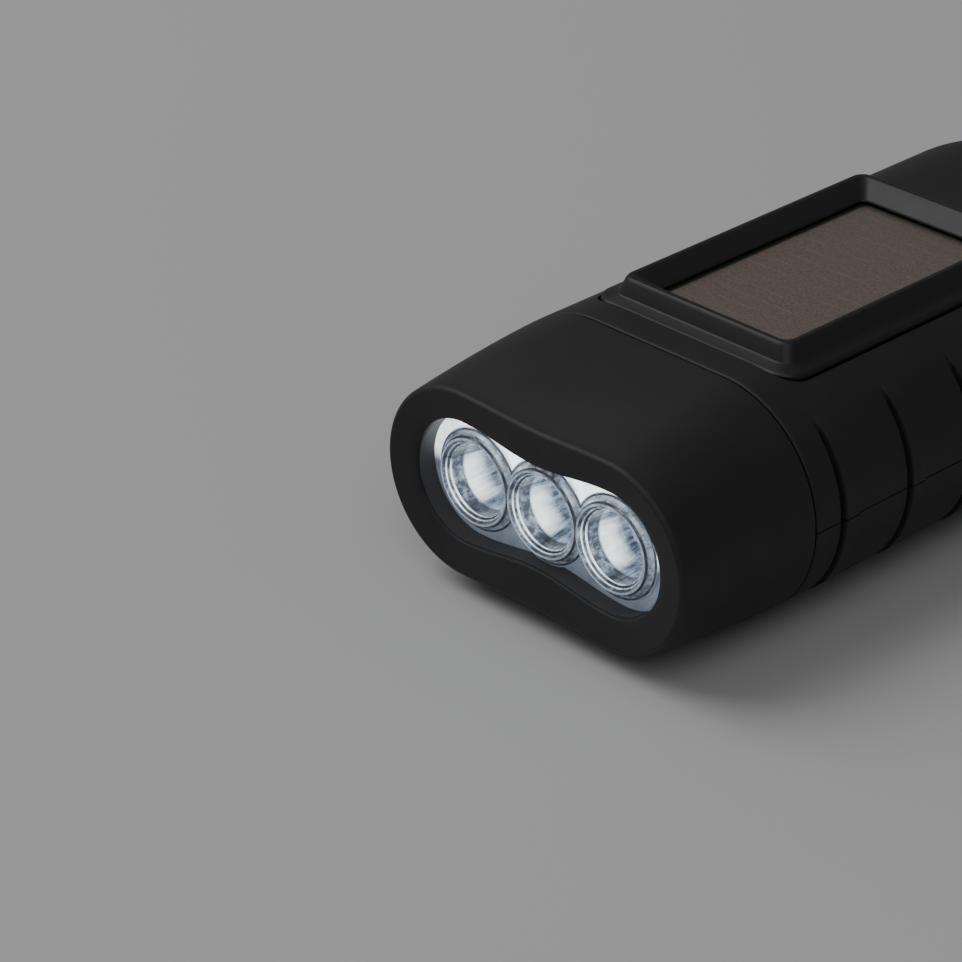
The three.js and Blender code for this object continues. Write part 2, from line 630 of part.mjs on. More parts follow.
const crankAt = { x: 0, y: CRANK.y };
add(
  "drive_gear",
  cut(gear(STAGE_1.module, STAGE_1.wheel, TOWARDS_IDLER, crankAt, -7.0, -5.2), cylinderZ(0, CRANK.y, 2.15, -9, 0)),
  look.gear,
);
add(
  "idler_gear",
  cut(
    join(
      gear(STAGE_1.module, STAGE_1.pinion, facing(TOWARDS_IDLER, STAGE_1.pinion), IDLER, -7.0, -4.4),
      gear(STAGE_2.module, STAGE_2.wheel, TOWARDS_ROTOR, IDLER, -4.8, -3.6),
    ),
    cylinderZ(IDLER.x, IDLER.y, 1.2, -9, 0, 20),
  ),
  look.gear,
);
add("idler_pin", cylinderZ(IDLER.x, IDLER.y, 1, -14.1, -2.3, 20), look.steel);
add(
  "rotor_pinion",
  cut(
    gear(STAGE_2.module, STAGE_2.pinion, facing(TOWARDS_ROTOR, STAGE_2.pinion), ROTOR, -5.0, -3.4),
    cylinderZ(ROTOR.x, ROTOR.y, 0.95, -9, 0, 16),
  ),
  look.brass,
);
add(
  "generator_rotor",
  join(cylinderZ(ROTOR.x, ROTOR.y, 4.3, -10.6, -6.4), cylinderZ(ROTOR.x, ROTOR.y, 0.8, -11.2, -2.3, 16)),
  look.magnet,
);
add(
  "generator_can",
  cut(
    cylinderZ(ROTOR.x, ROTOR.y, 7.6, -11.6, -5.6, 28),
    cylinderZ(ROTOR.x, ROTOR.y, 7.0, -11.0, -4, 28),
    cylinderZ(ROTOR.x, ROTOR.y, 1.1, -13, -4, 20),
  ),
  look.steel,
);
add(
  "generator_coil",
  cut(cylinderZ(ROTOR.x, ROTOR.y, 6.8, -10.8, -5.9, 28), cylinderZ(ROTOR.x, ROTOR.y, 4.7, -12, -4)),
  look.copper,
);

function gearPlate() {
  const hole = (at, r) => cylinderZ(at.x, at.y, r, -5, 0, 20);
  const plate = extrudeZ([[-9, 2], [9, 2], [12, 26], [18, 34], [18, 42], [4, 42], [-9, 36]], -3.1, -2.1);
  return cut(plate, hole(crankAt, 2.3), hole(IDLER, 1.2), hole(ROTOR, 1.1));
}
add("gear_plate", gearPlate(), look.steel);

export default group;
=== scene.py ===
"""Pocket emergency radio with a torch head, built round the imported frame.

Lengths in this script are millimetres about the parting plane of the two shells, until mesh() turns them
into metres in the frame. The torch looks along -Y and the solar panel faces +Z.
"""
import json
import math

import bmesh
import bpy
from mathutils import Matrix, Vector


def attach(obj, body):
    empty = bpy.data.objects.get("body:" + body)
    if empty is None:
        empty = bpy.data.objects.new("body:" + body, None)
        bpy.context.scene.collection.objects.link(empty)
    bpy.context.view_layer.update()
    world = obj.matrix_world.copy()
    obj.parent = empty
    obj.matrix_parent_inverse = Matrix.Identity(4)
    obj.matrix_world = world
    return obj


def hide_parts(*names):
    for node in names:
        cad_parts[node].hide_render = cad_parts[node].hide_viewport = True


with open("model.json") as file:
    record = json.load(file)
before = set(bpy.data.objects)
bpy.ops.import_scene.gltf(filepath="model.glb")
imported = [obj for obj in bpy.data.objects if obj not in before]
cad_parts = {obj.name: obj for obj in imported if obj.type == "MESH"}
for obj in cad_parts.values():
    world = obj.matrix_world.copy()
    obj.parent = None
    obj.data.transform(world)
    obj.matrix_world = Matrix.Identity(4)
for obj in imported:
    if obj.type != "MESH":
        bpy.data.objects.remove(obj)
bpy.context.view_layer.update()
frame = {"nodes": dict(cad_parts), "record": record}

# ---------------------------------------------------------------- dimensions
PARTING = 16.4
RIM_FRONT = -61.8
FRONT = RIM_FRONT + 0.8
SEAM = FRONT + 22.4
TAIL = 54.0
TAPER = 38.0
HALF_W = 28.0
HALF_H = 16.4
WALL = 2
PARTING_GAP = 0.09
TAIL_ROUND = 3
OPEN_W, OPEN_H, OPEN_WAIST = 21.9, 8.75, 1.3
CUP_PITCH = 12.4
CUPS = (-CUP_PITCH, 0.0, CUP_PITCH)
CUP_DEPTH = 10.0
BOWL_MOUTH, BOWL_THROAT = 4.9, 2.75
LAMP_TIP, LAMP_R, LAMP_BASE_R = FRONT + 6.1, 2.5, 2.9
FLANGE_Y = FRONT + 3.3
RIB_FIRST, RIB_PITCH, RIB_COUNT = FRONT + 27.2, 12.8, 5
PANEL_Y = -6.5
PANEL_LONGER = 9.1
CELL_HALF, CELL_CORNER = 12.1, 0.6
BUTTON_Y, BUTTON_R = 37.5, 6.5
WHEEL_X, WHEEL_Y, WHEEL_R, WHEEL_HALF = 20.0, 36.0, 9.0, 1.6
CRANK_Y, CRANK_R = 8.0, 17.0
CRANK_BOTTOM, CRANK_TOP = -16.1, -9.1
KNOB_X, KNOB_HINGE_Y, KNOB_Z, KNOB_R = 7.4, 16.2, -13.1, 3.0
SPEAKER_Y = -24.0
SCREWS = ((-18, -34, -11.8), (18, -34, -11.8), (-17.3, 47.3, -9.8), (17.3, 47.3, -9.8))
PORT_HALF, PORT_Z0, PORT_Z1 = 4.4, 2.0, 4.8
FLAP_HALF, FLAP_Z0, FLAP_HINGE = 6.3, 0.9, 5.3


# the reflector's painted shade, as dark ring lines: (radius from a cup's axis, half width) in metres
PAINTED_SHADE_RINGS = ((0.00705, 0.00011), (0.00622, 0.00008), (0.00566, 0.00009), (0.00522, 0.00007),
              (0.00486, 0.00005))
LAMP_GLOW = 0.8


def smooth(t):
    t = min(1.0, max(0.0, t))
    return t * t * (3 - 2 * t)


# ---------------------------------------------------------------- materials
class Nodes:
    """A material's node tree, with short calls for the few nodes used here."""

    def __init__(self, name):
        self.material = bpy.data.materials.new(name)
        self.material.use_nodes = True
        self.tree = self.material.node_tree
        self.tree.nodes.clear()
        self.out = self.add("ShaderNodeOutputMaterial")
        self.where = self.add("ShaderNodeTexCoord").outputs["Object"]

    def add(self, kind, links=None, **values):
        node = self.tree.nodes.new(kind)
        for key, value in values.items():
            setattr(node, key, value)
        for key, value in (links or {}).items():
            if isinstance(value, bpy.types.NodeSocket):
                self.tree.links.new(value, node.inputs[key])
            else:
                node.inputs[key].default_value = value
        return node

    def noise(self, scale, detail=2.0, rough=0.5, stretch=None):
        where = self.where
        if stretch:
            where = self.add("ShaderNodeMapping", {"Vector": where, "Scale": stretch}).outputs[0]
        links = {"Vector": where, "Scale": scale, "Detail": detail, "Roughness": rough}
        return self.add("ShaderNodeTexNoise", links).outputs["Fac"]

    def span(self, value, low, high, to_low=0.0, to_high=1.0):
        links = {"Value": value, "From Min": low, "From Max": high, "To Min": to_low, "To Max": to_high}
        return self.add("ShaderNodeMapRange", links).outputs[0]

    def maths(self, operation, a, b=0.0):
        return self.add("ShaderNodeMath", {0: a, 1: b}, operation=operation).outputs[0]

    def tint(self, factor, a, b):
        return self.add("ShaderNodeMix", {0: factor, 6: (*a, 1), 7: (*b, 1)}, data_type="RGBA").outputs[2]

    def layer(self, factor, a, b):
        return self.add("ShaderNodeMix", {0: factor, 6: a, 7: b}, data_type="RGBA").outputs[2]

    def bump(self, height, distance, strength=1.0):
        links = {"Height": height, "Distance": distance, "Strength": strength}
        return self.add("ShaderNodeBump", links).outputs[0]

    def principled(self, **sockets):
        links = {key.replace("_", " "): value for key, value in sockets.items()}
        return self.finish(self.add("ShaderNodeBsdfPrincipled", links))

    def finish(self, shader):
        """Joins a shader to the output, and returns the finished material."""
        self.tree.links.new(shader.outputs[0], self.out.inputs[0])
        return self.material


def moulded(name, dark, light, rough, grain=0.000018, size=3400):
    """Moulded or coated surface: fine grain, cloudy gloss and a slightly mottled colour."""
    n = Nodes(name)
    cloud = n.noise(90, 4)
    speck = n.noise(size, 3, 0.6)
    tone = n.maths("ADD", n.maths("MULTIPLY", cloud, 0.55), n.maths("MULTIPLY", speck, 0.45))
    colour = n.tint(n.span(tone, 0.35, 0.65), dark, light)
    gloss = n.span(n.noise(260, 3), 0.3, 0.7, rough - 0.015, rough + 0.02)
    return n.principled(Base_Color=colour, Roughness=gloss, Specular_IOR_Level=0.45,
                        Normal=n.bump(speck, grain, 0.9))


def bright(name, colour, rough, streak):
    """Plated or turned metal, with fine marks drawn out along one axis."""
    n = Nodes(name)
    marks = n.noise(900, 3, 0.6, streak)
    soil = n.noise(140, 4)
    low = tuple(c * 0.8 for c in colour)
    return n.principled(Base_Color=n.tint(n.span(soil, 0.35, 0.7), colour, low), Metallic=1.0,
                        Roughness=n.span(marks, 0.3, 0.7, rough * 0.8, rough * 1.3),
                        Normal=n.bump(marks, 0.000004))


def clear(name, tint_colour):
    """A clear moulded sheet: what is behind shows through, and the outer face mirrors the room."""
    n = Nodes(name)
    scuff = n.span(n.noise(220, 4), 0.45, 0.75, 0.02, 0.07)
    fresnel = n.add("ShaderNodeFresnel", {"IOR": 1.46}).outputs[0]
    outside = n.maths("SUBTRACT", 1.0, n.add("ShaderNodeNewGeometry").outputs["Backfacing"])
    through = n.add("ShaderNodeBsdfTransparent", {"Color": (*tint_colour, 1)}).outputs[0]
    mirror = n.add("ShaderNodeBsdfGlossy", {"Roughness": scuff}).outputs[0]
    share = n.maths("MULTIPLY", fresnel, outside)
    return n.finish(n.add("ShaderNodeMixShader", {0: share, 1: through, 2: mirror}))


def solar_cell_material():
    """Amorphous cell: brown mottled film with faint scribed lines, and a darker band round its edge that is
    painted shade from the frame's lip.
    """
    n = Nodes("solar_film")
    split = n.add("ShaderNodeSeparateXYZ", {"Vector": n.where})
    x, y = split.outputs[0], split.outputs[1]
    scribe = n.maths("PINGPONG", n.maths("ADD", y, 1.0), 0.00135)
    line = n.span(scribe, 0.00126, 0.00133)
    line = n.maths("MULTIPLY", line, n.span(n.noise(300, 3), 0.4, 0.65, 0.0, 0.55))
    mottle = n.noise(2600, 4, 0.75)
    cloud = n.noise(150, 3)
    film = n.tint(n.span(mottle, 0.35, 0.65), (0.088, 0.054, 0.038), (0.235, 0.160, 0.125))
    film = n.layer(n.span(cloud, 0.3, 0.7, 0.0, 0.3), film, (0.145, 0.105, 0.085, 1))
    film = n.layer(line, film, (0.34, 0.27, 0.22, 1))
    # painted shade: a dark band along the film's edges, just inside the frame's lip
    side = n.span(n.maths("ABSOLUTE", x), 0.01085, 0.01105)
    ends = n.span(n.maths("ABSOLUTE", n.maths("SUBTRACT", y, PANEL_Y / 1000)), 0.01995, 0.02015)
    colour = n.layer(n.maths("MAXIMUM", side, ends), film, (0.050, 0.056, 0.036, 1))
    return n.principled(Base_Color=colour, Roughness=n.span(mottle, 0.3, 0.7, 0.34, 0.5),
                        Normal=n.bump(mottle, 0.00001, 0.6))


def lamp_material():
    """Clear lamp resin round a lit chip: bright flecks on a grey-blue body."""
    n = Nodes("lamp_resin")
    fleck = n.noise(1100, 4, 0.75, (1, 0.35, 1))
    glow = n.tint(n.span(fleck, 0.46, 0.66), (0.045, 0.065, 0.10), (1.0, 1.0, 0.98))
    return n.principled(Base_Color=n.tint(fleck, (0.10, 0.13, 0.17), (0.34, 0.40, 0.46)), Roughness=0.15,
                        Emission_Color=glow, Emission_Strength=LAMP_GLOW, Normal=n.bump(fleck, 0.00012))


def cup_coordinates(n):
    """Height over the parting plane, and the nearest cup's number, radius and direction across and up."""
    split = n.add("ShaderNodeSeparateXYZ", {"Vector": n.where})
    x, z = split.outputs[0], split.outputs[2]
    pitch = CUP_PITCH / 1000
    height = n.maths("SUBTRACT", z, PARTING / 1000)
    cup = n.maths("ROUND", n.maths("DIVIDE", x, pitch))
    cup = n.maths("MINIMUM", n.maths("MAXIMUM", cup, -1.0), 1.0)
    offset = n.maths("SUBTRACT", x, n.maths("MULTIPLY", cup, pitch))
    squares = n.maths("ADD", n.maths("MULTIPLY", offset, offset), n.maths("MULTIPLY", height, height))
    radius = n.maths("SQRT", squares)
    across = n.maths("DIVIDE", offset, n.maths("MAXIMUM", radius, 0.0005))
    up = n.maths("DIVIDE", height, n.maths("MAXIMUM", radius, 0.0005))
    return height, cup, radius, across, up


def painted_ring_shade(n, radius, mottle):
    """Painted shade: thin dark lines where the cups' ring steps turn away from the light."""
    dark = None
    for line, half in PAINTED_SHADE_RINGS:
        away = n.maths("ABSOLUTE", n.maths("SUBTRACT", radius, line))
        ring = n.span(away, half, half * 1.9, 1.0, 0.0)
        dark = ring if dark is None else n.maths("MAXIMUM", dark, ring)
    return n.maths("MULTIPLY", dark, n.span(mottle, 0.3, 0.55, 0.55, 1.0))


def choose(n, factor, a, b):
    """a where the factor is 1, and b where it is 0."""
    rest = n.maths("SUBTRACT", 1.0, factor)
    return n.maths("ADD", n.maths("MULTIPLY", factor, a), n.maths("MULTIPLY", rest, b))


def reflector_material():
    """Metallised plastic. The lamps' light in it is painted as glow, laid out round each cup's axis."""
    n = Nodes("reflector_metal")
    height, cup, radius, across, up = cup_coordinates(n)
    # bowls: painted reflections of the lamps, as soft streaks that run out from the lamp, and a painted
    # highlight, a bright crescent low on one side
    axes = {"X": n.maths("ADD", across, cup), "Y": n.maths("MULTIPLY", radius, 110.0), "Z": up}
    polar = n.add("ShaderNodeCombineXYZ", axes).outputs[0]
    grain = {"Vector": polar, "Scale": 7.5, "Detail": 5.0, "Roughness": 0.75}
    rays = n.add("ShaderNodeTexNoise", grain).outputs["Fac"]
    mottle = n.noise(700, 4, 0.7)
    painted_streaks = n.maths("ADD", n.maths("MULTIPLY", rays, 0.65), n.maths("MULTIPLY", mottle, 0.35))
    lean = n.maths("ADD", n.maths("MULTIPLY", across, -0.86), n.maths("MULTIPLY", up, -0.5))
    painted_crescent = n.maths("MULTIPLY", n.span(lean, 0.66, 0.9), n.span(radius, 0.0041, 0.0046))
    bowl = n.maths("ADD", n.span(painted_streaks, 0.43, 0.62, 0.0, 0.62), n.maths("MULTIPLY", painted_crescent, 1.7))
    # face: painted glow, bright above the lamps and flat grey below them; on the cups' rims, mottled painted
    # light that is brighter towards their tops
    web_painted_glow = n.maths("MULTIPLY", n.span(height, -0.001, 0.0012, 0.13, 1.9), n.span(mottle, 0.3, 0.5, 0.6, 1.0))
    rim_painted_light = n.maths("MULTIPLY", n.span(mottle, 0.38, 0.62, 0.03, 0.5), n.span(up, -0.6, 0.9, 0.45, 1.0))
    flat = n.span(radius, 0.0069, 0.0072)
    face = n.span(radius, 0.00572, 0.00585)
    level = choose(n, face, choose(n, flat, web_painted_glow, rim_painted_light), bowl)
    # painted shade: dark ring lines that darken the painted glow and the base colour
    dark = painted_ring_shade(n, radius, mottle)
    level = n.maths("MULTIPLY", level, n.maths("SUBTRACT", 1.0, n.maths("MULTIPLY", dark, 0.92)))
    tone = n.tint(n.span(level, 0.1, 1.2), (0.60, 0.74, 1.0), (0.93, 0.99, 1.0))
    light = n.add("ShaderNodeVectorMath", {0: tone, "Scale": level}, operation="SCALE").outputs[0]
    # base colour: the painted reflection streaks again inside the bowls, darker there, and mottled grey
    # outside them
    metal = n.layer(n.span(radius, 0.0047, 0.0051), n.tint(rays, (0.10, 0.13, 0.18), (0.42, 0.48, 0.56)),
                    n.tint(mottle, (0.50, 0.54, 0.60), (0.82, 0.86, 0.90)))
    return n.principled(Base_Color=n.layer(dark, metal, (0.03, 0.035, 0.04, 1)),
                        Metallic=n.span(flat, 0.0, 1.0, 1.0, 0.75),
                        Roughness=n.span(flat, 0.0, 1.0, 0.24, 0.45), Emission_Color=light,
                        Emission_Strength=1.0,
                        Normal=n.bump(n.maths("ADD", rays, n.maths("MULTIPLY", mottle, 0.6)), 0.00008))


MATERIALS = {
    "shell": moulded("shell_soft_black", (0.0098, 0.0086, 0.0098), (0.0156, 0.0139, 0.0154), 0.58),
    "gloss_black": moulded("frame_gloss_black", (0.0070, 0.0066, 0.0070), (0.0105, 0.0100, 0.0104), 0.46,
                           0.000010),
    "grip": moulded("grip_rubber", (0.012, 0.012, 0.0125), (0.021, 0.021, 0.0205), 0.7, 0.00003, 2600),
    "clear_plastic": clear("clear_plastic", (0.96, 0.98, 0.99)),
    "bright_metal": reflector_material(),
    "lamp_body": lamp_material(),
    "solar": solar_cell_material(),
    "circuit_board": moulded("solder_mask", (0.012, 0.09, 0.04), (0.02, 0.14, 0.06), 0.4),
    "steel": bright("plated_steel", (0.56, 0.56, 0.57), 0.28, streak=(1, 9, 9)),
    "brass": bright("turned_brass", (0.62, 0.46, 0.19), 0.3, streak=(6, 6, 1)),
    "copper_wire": moulded("enamelled_copper", (0.36, 0.10, 0.03), (0.50, 0.16, 0.05), 0.3),
    "gear_plastic": moulded("gear_acetal", (0.62, 0.60, 0.53), (0.74, 0.72, 0.66), 0.42),
    "magnet": moulded("sintered_magnet", (0.022, 0.022, 0.025), (0.04, 0.04, 0.044), 0.5),
    "cell_wrap": moulded("cell_sleeve", (0.02, 0.10, 0.30), (0.03, 0.14, 0.38), 0.3),
    "speaker_paper": moulded("cone_paper", (0.02, 0.02, 0.02), (0.04, 0.038, 0.035), 0.85, 0.00006),
}


# ---------------------------------------------------------------- meshes
def mesh(name, vertices, faces):
    data = bpy.data.meshes.new(name)
    data.from_pydata([(x / 1000, y / 1000, (z + PARTING) / 1000) for x, y, z in vertices], [], faces)
    obj = bpy.data.objects.new(name, data)
    bpy.context.scene.collection.objects.link(obj)
    bm = bmesh.new()
    bm.from_mesh(data)
    bmesh.ops.remove_doubles(bm, verts=bm.verts, dist=1e-7)
    bmesh.ops.recalc_face_normals(bm, faces=bm.faces)
    bm.to_mesh(data)
    bm.free()
    return obj


def skin(name, rings, closed=False):
    """Skins rings of equal length. closed joins the last ring to the first, else both ends are capped."""
    n = len(rings[0])
    vertices = [p for ring in rings for p in ring]
    faces = []
    last = len(rings) if closed else len(rings) - 1
    for i in range(last):
        for j in range(n):
            k = (j + 1) % n
            a, b = i * n, ((i + 1) % len(rings)) * n
            faces.append((a + j, a + k, b + k, b + j))
    if not closed:
        faces.append(tuple(range(n))[::-1])
        faces.append(tuple(range((len(rings) - 1) * n, len(rings) * n)))
    return mesh(name, vertices, faces)


def turned(name, profile, centre, axis="Z", sides=96):
    """A turned solid. profile runs from the axis to the axis, or closes on itself."""
    cx, cy, cz = centre
    rings = []
    for i in range(sides):
        a = 2 * math.pi * i / sides
        c, s = math.cos(a), math.sin(a)
        if axis == "Z":
            rings.append([(cx + r * c, cy + r * s, cz + d) for r, d in profile])
        elif axis == "Y":
            rings.append([(cx + r * c, cy + d, cz + r * s) for r, d in profile])
        else:
            rings.append([(cx + d, cy + r * c, cz + r * s) for r, d in profile])
    n = len(profile)
    vertices = [p for ring in rings for p in ring]
    on_axis = profile[0][0] == 0
    faces = []
    for i in range(sides):
        a, b = i * n, ((i + 1) % sides) * n
        for j in range(n - 1 if on_axis else n):
            k = (j + 1) % n
            quad = (a + j, b + j, b + k, a + k)
            if on_axis and j == 0:
                quad = (0, b + 1, a + 1)
            elif on_axis and j == n - 2:
                quad = (a + j, b + j, n - 1)
            faces.append(quad)
    used = sorted({v for f in faces for v in f})
    index = {v: i for i, v in enumerate(used)}
    return mesh(name, [vertices[v] for v in used], [tuple(index[v] for v in f) for f in faces])


def prism(name, outline, z0, z1, plane="XY"):
    """Extrudes an outline of (x, y) pairs from z0 to z1, or on plane "XZ" one of (x, z) along y."""
    if plane == "XY":
        rings = [[(a, b, z) for a, b in outline] for z in (z0, z1)]
    else:
        rings = [[(a, y, b) for a, b in outline] for y in (z0, z1)]
    return skin(name, rings)


def block(name, x0, x1, y0, y1, z0, z1):
    return prism(name, [(x0, y0), (x1, y0), (x1, y1), (x0, y1)], z0, z1)


def rounded(hx, hy, r, steps=8, cx=0.0, cy=0.0):
    """A rectangle's outline with round corners, from its half sizes."""
    points = []
    for q, (sx, sy) in enumerate(((1, 1), (-1, 1), (-1, -1), (1, -1))):
        for i in range(steps + 1):
            a = math.pi / 2 * (q + i / steps)
            points.append((cx + sx * (hx - r) + r * math.cos(a), cy + sy * (hy - r) + r * math.sin(a)))
    return points


def applied(obj):
    """Bakes the object's modifiers into its mesh."""
    graph = bpy.context.evaluated_depsgraph_get()
    graph.update()
    data = bpy.data.meshes.new_from_object(obj.evaluated_get(graph))
    obj.modifiers.clear()
    old = obj.data
    obj.data = data
    bpy.data.meshes.remove(old)
    return obj


def combine(obj, others, operation):
    for other in others:
        modifier = obj.modifiers.new("combine", "BOOLEAN")
        modifier.object = other
        modifier.operation = operation
        modifier.solver = "MANIFOLD"
    applied(obj)
    for other in others:
        data = other.data
        bpy.data.objects.remove(other)
        bpy.data.meshes.remove(data)
    return obj


def cut(obj, *tools):
    return combine(obj, tools, "DIFFERENCE")


def join(obj, *others):
    return combine(obj, others, "UNION")


def meet(obj, *others):
    return combine(obj, others, "INTERSECT")


def bevelled(obj, width, segments=3, angle=32):
    modifier = obj.modifiers.new("bevel", "BEVEL")
    modifier.width = width / 1000
    modifier.segments = segments
    modifier.limit_method = "ANGLE"
    modifier.angle_limit = math.radians(angle)
    modifier.harden_normals = False
    return applied(obj)


def settle(obj, body, slot, *nodes, angle=30):
    """Gives a finished piece its material, shading and body, and hides the CAD nodes it stands for."""
    obj.data.shade_smooth()
    obj.data.set_sharp_from_angle(angle=math.radians(angle))
    obj.data.materials.clear()
    obj.data.materials.append(MATERIALS[slot])
    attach(obj, body)
    if nodes:
        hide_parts(*nodes)
    return obj


# ---------------------------------------------------------------- the oval body
ARC = 30
FLAT = 16


def oval(y, w, h, waist=0.0, bulge=None):
    """A flat-sided oval section, drawn in by waist at the middle, and standing out by bulge(angle)."""
    flat = w - h
    corner = []
    for i in range(FLAT):
        x = flat * i / FLAT
        corner.append((x, h - waist * (0.5 + 0.5 * math.cos(math.pi * x / flat))))
    for i in range(ARC + 1):
        a = math.pi / 2 * (1 - i / ARC)
        r = h + (bulge(a) if bulge else 0.0)
        corner.append((flat + r * math.cos(a), r * math.sin(a)))
    right = corner + [(x, -z) for x, z in reversed(corner[:-1])]
    left = [(-x, z) for x, z in reversed(right[1:-1])]
    return [(x, y, z) for x, z in right + left]


def body_size(y):
    """Half width and half height of the casing, which tapers near the tail."""
    t = max(0.0, (y - TAPER) / (TAIL - TAPER))
    return HALF_W - 6 * t * t, HALF_H - 4 * t * t


RIB_END = math.radians(49)
RIB_DEPTH, RIB_HEIGHT, RIB_LENGTH = 0.8, 0.34, 3.0


def rib_lift(u, angle):
    """How far the side stands out, u behind a groove's middle, at an angle above the horizontal."""
    left = RIB_END - abs(angle)
    deep = smooth(left / math.radians(9))
    f = smooth((left + math.radians(3)) / math.radians(15))
    if f <= 0:
        return 0.0
    length = RIB_LENGTH * (0.5 + 0.5 * f)
    narrow = 0.55 + 0.45 * deep
    half = 0.3 * narrow
    groove = RIB_DEPTH * (smooth((u + half + 0.13) / 0.2) - smooth((u - half + 0.07) / 0.2))
    band = RIB_HEIGHT * (smooth((u - 0.15) / 0.3) - smooth((u - length + 0.12) / 0.24))
    return f * band * (1.15 - 0.3 * max(0.0, u) / length) - deep * groove


def shell_stations():
    ys = [SEAM + 0.02, SEAM + 0.1, SEAM + 0.22, SEAM + 0.4, SEAM + 0.8]
    for i in range(RIB_COUNT):
        y0 = RIB_FIRST + i * RIB_PITCH
        ys += [y0 - 1.0] + [y0 - 0.5 + 0.05 * k for k in range(21)]
        ys += [y0 + 0.7, y0 + 1.0, y0 + 1.3] + [y0 + 1.6 + 0.08 * k for k in range(20)]
        ys += [y0 + 3.6 + 1.5 * k for k in range(6)]
    start = RIB_FIRST + RIB_COUNT * RIB_PITCH
    ys += [start + (TAIL - TAIL_ROUND - start) * k / 24 for k in range(25)]
    return sorted({round(y, 4) for y in ys})


def shell_outer():
    rings = []
    for y in shell_stations():
        w, h = body_size(y)
        edge = 0.28 * (1 - math.sqrt(max(0.0, 1 - (1 - min(1.0, (y - SEAM) / 0.4)) ** 2)))

        def bulge(a):
            return sum(rib_lift(y - RIB_FIRST - i * RIB_PITCH, a) for i in range(RIB_COUNT))

        rings.append(oval(y, w - edge, h - edge, 0, bulge))
    for k in range(1, 11):
        a = math.pi / 2 * k / 10
        y = TAIL - TAIL_ROUND + TAIL_ROUND * math.sin(a)
        w, h = body_size(y)
        inset = TAIL_ROUND * (1 - math.cos(a))
        rings.append(oval(y, w - inset, h - inset))
    return skin("shell_outer", rings)


def shell_solid():
    stations = (SEAM + WALL, TAPER, 42, 46, 50, TAIL - WALL)
    inner = skin("inner", [oval(y, *(v - WALL for v in body_size(y))) for y in stations])
    throat = skin("throat", [oval(SEAM - 4, 24.0, 12.4), oval(SEAM + 2.5, 24.0, 12.4)])
    spigot = skin("spigot", [oval(SEAM - 2.8, 25.6, 14.0), oval(SEAM + 1, 25.6, 14.0)])
    return cut(join(shell_outer(), spigot), inner, throat)


def panel_rect(half, r, steps=8):
    return rounded(half, half + PANEL_LONGER, r, steps, cy=PANEL_Y)


def parting_tools(sign):
    """What both shells lose: the other half (sign 1 keeps the upper), the wheel slots and the lug's seat."""
    tools = [block("half", -40, 40, -70, 70, -sign * 30, sign * PARTING_GAP)]
    for side in (-1, 1):
        tools.append(turned("slot", [(0, -2), (WHEEL_R + 0.5, -2), (WHEEL_R + 0.5, 2), (0, 2)],
                            (side * WHEEL_X, WHEEL_Y, 0)))
    tools.append(block("lug", -17.3, -8.7, TAIL - 3, TAIL + 1, -1.9, 1.9))
    tools.append(block("lug_head", -19, -7, TAIL - 4.2, TAIL - 2.1, -1.9, 1.9))
    return tools


def cylinder(name, x, y, r, z0, z1, sides=64):
    return turned(name, [(0, z0), (r, z0), (r, z1), (0, z1)], (x, y, 0), sides=sides)


def upper_shell():
    shell = shell_solid()
    tools = parting_tools(1)
    tools.append(prism("well", panel_rect(15.2, 1.8), 8, 22))
    tools.append(prism("ledge", panel_rect(18.1, 3.9), 14.6, 22))
    tools.append(turned("button_hole", [(0, 8), (BUTTON_R + 0.3, 8), (BUTTON_R + 0.3, 15.4),
                                        (BUTTON_R + 1.9, 17.4), (0, 17.4)], (0, BUTTON_Y, 0)))
    tools.append(block("port", -PORT_HALF - 0.4, PORT_HALF + 0.4, TAIL - 4, TAIL + 2,
                       PORT_Z0 - 0.3, PORT_Z1 + 0.3))
    recess = rounded(FLAP_HALF + 0.3, 2.9, 0.6, 5, 0, 3.4)
    tools.append(prism("flap_recess", recess, TAIL - 0.9, TAIL + 2, "XZ"))
    settle(cut(shell, *tools), "housing", "shell", "upper_shell")
    bpy.context.view_layer.update()


def lower_shell():
    shell = join(shell_solid(), meet(cylinder("pocket_wall", 0, CRANK_Y, 19, -20, -7.4, 96), shell_outer()))
    tools = parting_tools(-1)
    r = CRANK_R + 0.5
    pocket = [(0, -20), (r + 0.9, -20), (r + 0.9, -16.4), (r, -15.6), (r, -8.8), (0, -8.8)]
    tools.append(turned("pocket", pocket, (0, CRANK_Y, 0), sides=128))
    tools.append(cylinder("bore", 0, CRANK_Y, 3.4, -12, 0))
    for x, y, seat in SCREWS:
        tools.append(cylinder("screw_well", x, y, 2.7, -20, seat + 0.3, 48))
    for i in range(-2, 3):
        reach = math.sqrt(10.5 ** 2 - (4 * i) ** 2)
        outline = rounded(reach, 0.8, 0.79, 6, 0, SPEAKER_Y + 4 * i)
        tools.append(prism("grille", outline, -20, -10))
    settle(cut(shell, *tools), "housing", "shell", "lower_shell")


upper_shell()
lower_shell()


# ---------------------------------------------------------------- torch head
def bezel_size(s):
    """Half width, half height and waist of the nose cap, s behind the lens plane."""
    t = 1 - max(0.0, 1 - s / 22.25) ** 1.5
    return 26.75 + 1.25 * t, 13.45 + 2.95 * t, 0.4 * max(0.0, 1 - s / 13)


